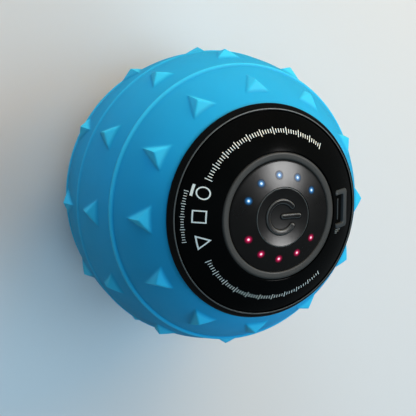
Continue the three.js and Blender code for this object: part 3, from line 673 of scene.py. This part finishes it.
def power_button():
    """The dished button with its raised standby symbol, and the lighter bead at its rim, a painted
    highlight.
    """
    columns = 288
    rim_r = BUTTON_R - RIM_ROUND
    rim_z = BUTTON_RIM_Z - RIM_ROUND
    loops = [circle(r, z, columns) for r, z in (
        (3.0, 55.2), (3.0, 56.2), (13.0, 56.2), (13.0, 56.8), (BUTTON_R, 56.8))]
    for t in np.radians((0, 20, 40, 60, 80, 100)):
        loops.append(circle(rim_r + RIM_ROUND * math.cos(t), rim_z + RIM_ROUND * math.sin(t), columns))
    dish_r = rim_r - 0.1
    edge = [np.zeros(columns)] * len(loops)
    foot = [np.zeros(columns)] * len(loops)
    for r in np.linspace(dish_r - 0.1, 0.1, 96):
        loop = circle(r, 0, columns)
        near = symbol_near(loop[:, 0], loop[:, 1])
        loop[:, 2] = BUTTON_RIM_Z - 0.03 - DISH * (1 - (r / dish_r) ** 2)
        loop[:, 2] += STROKE_H * np.clip(1 - near ** 4, 0, 1) ** 0.5
        loops.append(loop)
        # masks of the painted highlight along the strokes' edges and the painted shade at their foot
        edge.append(np.exp(-((near - 0.8) / 0.17) ** 2))
        foot.append(np.exp(-((near - 1.2) / 0.22) ** 2))
    button = loft("power_button_cap", [place(loop) for loop in loops])
    for name, values in (("stroke_edge", edge), ("stroke_foot", foot)):
        layer = button.data.attributes.new(name, "FLOAT", "POINT")
        layer.data.foreach_set("value", np.concatenate(values))
    finish_piece(button, "button", LOOKS["button_black"], ("power_button",))
    bead = turned("power_button_bead", [
        (BUTTON_R - 0.4, BUTTON_RIM_Z - 0.2, 0.0), (BUTTON_R - 0.06, BUTTON_RIM_Z - 0.24, 0.0),
        (BUTTON_R - 0.1, BUTTON_RIM_Z - 0.02, 0.12), (BUTTON_R - 0.36, BUTTON_RIM_Z + 0.02, 0.12)])
    # the bead's lighter grey is a painted highlight on the rim
    finish_piece(bead, "button", BEAD_HIGHLIGHT)


# ---- charging port ----------------------------------------------------------------------
HOLE_W = PORT_WIDTH - PORT_SILL - PORT_BAR
HOLE_L = PORT_LENGTH - 2 * PORT_ARM
HOLE_X = (PORT_SILL - PORT_BAR) / 2


def dome_loop(width, length, corner, lift, x=0.0, y=0.0):
    """A rounded rectangle laid on a sphere that stands lift above the dome."""
    loop = rounded_loop(width, length, corner) + (x, y, 0)
    loop[:, 2] = np.sqrt((CAP_R + lift) ** 2 - loop[:, 0] ** 2 - loop[:, 1] ** 2)
    return at_port(loop)


def port_frame():
    """A wide lip on three sides of the port and a flush sill on the side facing the ring."""
    outer = ((0.0, -PORT_DEPTH), (0.0, 0.22), (0.07, 0.36), (0.22, PORT_LIP))
    inner = ((0.3, PORT_LIP), (0.14, 0.4), (0.04, 0.28), (0.0, 0.1), (0.0, -PORT_DEPTH))
    loops = [dome_loop(PORT_WIDTH - 2 * inset, PORT_LENGTH - 2 * inset, 1.5 - inset, lift)
             for inset, lift in outer]
    loops += [dome_loop(HOLE_W + 2 * inset, HOLE_L + 2 * inset, 0.9 + inset, lift, HOLE_X)
              for inset, lift in inner]
    rim = loft("port_frame_lip", loops, ring=True)
    low = rounded_loop(PORT_SILL + 3.0, HOLE_L, 0.3) + (-PORT_WIDTH / 2 - 0.9 + PORT_SILL / 2, 0, 0)
    carve(rim, [loft("cutter", [at_port(low + (0, 0, z)) for z in (CAP_R - 2.0, CAP_R + 3)])])
    finish_piece(rim, "ball", LOOKS["port_grey"], ("port_frame",))
    for i, (y, length) in enumerate(((-8.25, 3.8), (-8.95, 2.6), (-9.6, 1.5))):
        x = length / 2 - PORT_WIDTH / 2 + 0.3
        steps = ((0.0, -0.3), (0.0, 0.12), (0.06, 0.24), (0.16, 0.3))
        ridge = loft(f"port_grip_{i + 1}", [
            dome_loop(length - 2 * inset, 0.46 - 2 * inset, 0.2 - inset, lift, x, y)
            for inset, lift in steps])
        finish_piece(ridge, "ball", GRIP)


def port_cover():
    """The soft flap, sunk in the frame, with a raised edge and a moulded rib along its face."""
    width, length = HOLE_W - 0.5, HOLE_L - 0.5
    steps = ((0.0, -PORT_DEPTH + 0.06), (0.0, -0.7), (0.06, -0.6), (0.18, -0.56), (0.36, -0.58),
             (0.46, -0.66), (0.55, -0.75), (1.2, -0.75), (2.0, -0.75))
    flap = loft("port_cover_flap", [
        dome_loop(width - 2 * inset, length - 2 * inset, max(0.7 - inset, 0.1), lift, HOLE_X)
        for inset, lift in steps])
    finish_piece(flap, "cover", LOOKS["port_rubber"], ("port_cover",))
    rib = loft("port_cover_rib", [
        dome_loop(0.6 - 2 * inset, 8.6 - 2 * inset, 0.28 - inset, lift, HOLE_X - 0.9)
        for inset, lift in ((0.0, -0.9), (0.0, -0.5), (0.06, -0.42), (0.14, -0.39))])
    finish_piece(rib, "cover", LOOKS["port_grey"])


# ---- generic print ----------------------------------------------------------------------
PRINT_R = 33.0
PRINT_LIFT = 0.05
PRINT_T = 0.06


def on_dome(across, out, angle, lift):
    """A point of the print: across along the circle and out from the axis, both in mm."""
    turn = math.radians(angle) + across / out
    z = dome_height(out)
    scale = 1 + lift / CAP_R
    return (out * math.cos(turn) * scale, out * math.sin(turn) * scale, z * scale)


class Print:
    """Collects flat marks on the dome into one mesh."""

    def __init__(self):
        self.verts = []
        self.faces = []

    def strip(self, angle, edges, ring):
        """A closed plate along a run of (across, out) point pairs, one pair for each step."""
        loops = []
        for a, b in edges:
            loops.append([on_dome(*a, angle, PRINT_LIFT), on_dome(*b, angle, PRINT_LIFT),
                          on_dome(*b, angle, PRINT_LIFT - PRINT_T),
                          on_dome(*a, angle, PRINT_LIFT - PRINT_T)])
        verts, faces = loft_arrays(loops, ring)
        start = len(self.verts)
        self.verts += verts.tolist()
        self.faces += [tuple(i + start for i in face) for face in faces]

    def tick(self, angle, out, height, width):
        """A bar, tall along the radius and wide along the circle."""
        low, high = out - height / 2, out + height / 2
        steps = np.linspace(-width / 2, width / 2, max(2, round(width / 0.5)))
        self.strip(angle, [((a, low), (a, high)) for a in steps], ring=False)

    def outline(self, angle, out, corners, stroke):
        """A closed outline round the point at out, through the given (across, along) corners."""
        points, count = [], len(corners)
        for i, (x, y) in enumerate(corners):
            nx, ny = corners[(i + 1) % count]
            steps = max(1, round(math.hypot(nx - x, ny - y) / 0.5))
            points += [(x + (nx - x) * t / steps, y + (ny - y) * t / steps) for t in range(steps)]
        reach = min(abs(Vector(p).length) for p in points)
        shrink = 1 - stroke / reach
        edges = [((x, out + y), (x * shrink, out + y * shrink)) for x, y in points]
        self.strip(angle, edges, ring=True)

    def scale_arc(self, start, end, out, step, heights, width):
        """A graduated arc: a long tick every fifth place and short ones between."""
        for i in range(int((end - start) / step) + 1):
            height = heights[0] if i % 5 == 0 else heights[1]
            self.tick(start + i * step, out, height, width)


def polygon(sides, radius, turn):
    """(across, along) corners of a regular polygon; turn rotates it, in radians."""
    angles = [turn + 2 * math.pi * i / sides for i in range(sides)]
    return [(radius * math.sin(a), radius * math.cos(a)) for a in angles]


def print_marks():
    """Plain graduations and outlines where the object carries its printing."""
    marks = Print()
    marks.scale_arc(51, 151, PRINT_R, 2.0, (2.7, 1.5), 0.32)
    marks.scale_arc(-152, -51, PRINT_R, 2.02, (2.3, 1.3), 0.26)
    marks.scale_arc(162, 192, 38.3, 1.5, (1.5, 1.0), 0.24)
    marks.outline(160.5, PRINT_R, polygon(32, 2.5, 0.0), 0.5)
    marks.outline(176.3, PRINT_R, polygon(4, 3.5, math.pi / 4), 0.5)
    marks.outline(193.5, PRINT_R, polygon(3, 3.5, math.pi), 0.55)
    marks.tick(160.5, 36.6, 0.9, 4.6)
    piece = new_piece("print_marks", place(marks.verts), marks.faces)
    finish_piece(piece, "ball", PRINT)


# ---- carried-over CAD nodes -------------------------------------------------------------
def dress_cad_nodes():
    """Gives every CAD node the material of its slot in the record."""
    slots = {entry["node"]: entry["material_slot"] for entry in frame["record"]["subparts"]}
    for name, node in frame["nodes"].items():
        node.data.materials.clear()
        node.data.materials.append(LOOKS[slots[name]])


# ---- camera, lights and floor -----------------------------------------------------------
AXIS_TO_SIGHT = math.radians(29.24)      # between the ball's axis and the line of sight
AXIS_BELOW_LEVEL = math.radians(17.36)   # the axis in the picture, below the horizontal
PORT_TURN = math.radians(-109.95)        # the port round the axis, from the picture's low side
SIGHT_DISTANCE = 0.4824
AIM_OFF = (math.radians(0.175), math.radians(0.666))   # the ball right of and above the aim
LENS = 96.6
CENTRE = Vector((0, 0, CENTRE_Z * MM))


def view_axes():
    """The matrix from the shared frame to the picture's right, up and towards the camera."""
    st, ct = math.sin(AXIS_TO_SIGHT), math.cos(AXIS_TO_SIGHT)
    sp, cp = math.sin(AXIS_BELOW_LEVEL), math.cos(AXIS_BELOW_LEVEL)
    low = Vector((-sp, -cp, 0))
    left = Vector((-ct * cp, ct * sp, st))
    along_x = low * math.cos(PORT_TURN) + left * math.sin(PORT_TURN)
    along_y = low * math.cos(PORT_TURN - math.pi / 2) + left * math.sin(PORT_TURN - math.pi / 2)
    along_z = Vector((st * cp, -st * sp, ct))
    return Matrix((along_x, along_y, along_z)).transposed()


def camera():
    """A camera at the photograph's viewing angle."""
    right, up = math.tan(AIM_OFF[0]), math.tan(AIM_OFF[1])
    ray = Vector((right, up, -1)).normalized()
    lean = Vector((0, 0, -1)).rotation_difference(ray).to_matrix()
    to_view = lean @ view_axes()
    data = bpy.data.cameras.new("camera")
    data.lens = LENS
    data.sensor_width = 36
    data.clip_start = 0.01
    eye = bpy.data.objects.new("camera", data)
    bpy.context.scene.collection.objects.link(eye)
    back = to_view.transposed()
    eye.matrix_world = Matrix.Translation(CENTRE - back @ (ray * SIGHT_DISTANCE)) @ back.to_4x4()
    bpy.context.scene.camera = eye


WARM = (1.0, 0.75, 0.38)
COOL = (0.47, 0.80, 1.0)
SOFT_DISTANCE = 1.1
SOFT_SIZE = 0.6
FLOOR_HALF = 3.0
SOFT_LIGHTS = (                          # name, towards (see softbox), watts, tone
    ("low_right", (0.86, -0.50, 0.14), 4.2, COOL),
    ("right", (0.85, -0.05, 0.52), 3.9, COOL),
    ("upper_right", (0.81, 0.47, 0.34), 3.6, WARM),
    ("high_right", (0.48, 0.84, 0.26), 6.7, WARM),
    ("top", (0.0, 0.87, 0.5), 5.1, COOL),
    ("front", (0.15, -0.1, 0.98), 2.3, COOL),
)


def softbox(name, towards, distance, size, energy, color=(1, 1, 1), glossy=True, diffuse=True):
    """A round area light; towards is right, up and nearer in the picture, from the ball. Without
    glossy it isn't mirrored in the surfaces, and without diffuse it is only mirrored."""
    direction = (view_axes().transposed() @ Vector(towards)).normalized()
    data = bpy.data.lights.new(name, "AREA")
    data.shape = "DISK"
    data.size = size
    data.energy = energy
    data.color = color
    lamp = bpy.data.objects.new(name, data)
    bpy.context.scene.collection.objects.link(lamp)
    lamp.location = CENTRE + direction * distance
    lamp.rotation_euler = direction.to_track_quat("Z", "Y").to_euler()
    lamp.visible_glossy = glossy
    lamp.visible_diffuse = diffuse


def studio():
    """The pale floor, the lights and the faint light from all round."""
    floor_mesh = bpy.data.meshes.new("floor")
    signs = ((-1, -1), (1, -1), (1, 1), (-1, 1))
    corners = [(FLOOR_HALF * x, FLOOR_HALF * y, 0) for x, y in signs]
    floor_mesh.from_pydata(corners, [], [(0, 1, 2, 3)])
    floor = bpy.data.objects.new("floor", floor_mesh)
    bpy.context.scene.collection.objects.link(floor)
    paper, _, _ = principled("floor_paper", (0.85, 0.75, 0.74), 0.9)
    floor_mesh.materials.append(paper)
    floor.visible_glossy = False
    for name, towards, energy, color in SOFT_LIGHTS:
        softbox(name, towards, SOFT_DISTANCE, SOFT_SIZE, energy, color, glossy=False)
    softbox("panel_light", (0.81, 0.27, 0.52), 0.9, 0.44, 4.6, diffuse=False)
    world = bpy.data.worlds.new("studio")
    world.use_nodes = True
    backdrop = world.node_tree.nodes["Background"]
    backdrop.inputs["Color"].default_value = (0.88, 0.95, 1.0, 1)
    backdrop.inputs["Strength"].default_value = 0.09
    bpy.context.scene.world = world
    bpy.context.scene.view_settings.view_transform = "Standard"


camera()
dress_cad_nodes()
sleeve()
bezels()
front_cap()
rear_cap()
foot_pad()
panel_ring()
lamp_panel()
lamps()
power_button()
port_frame()
port_cover()
print_marks()
studio()
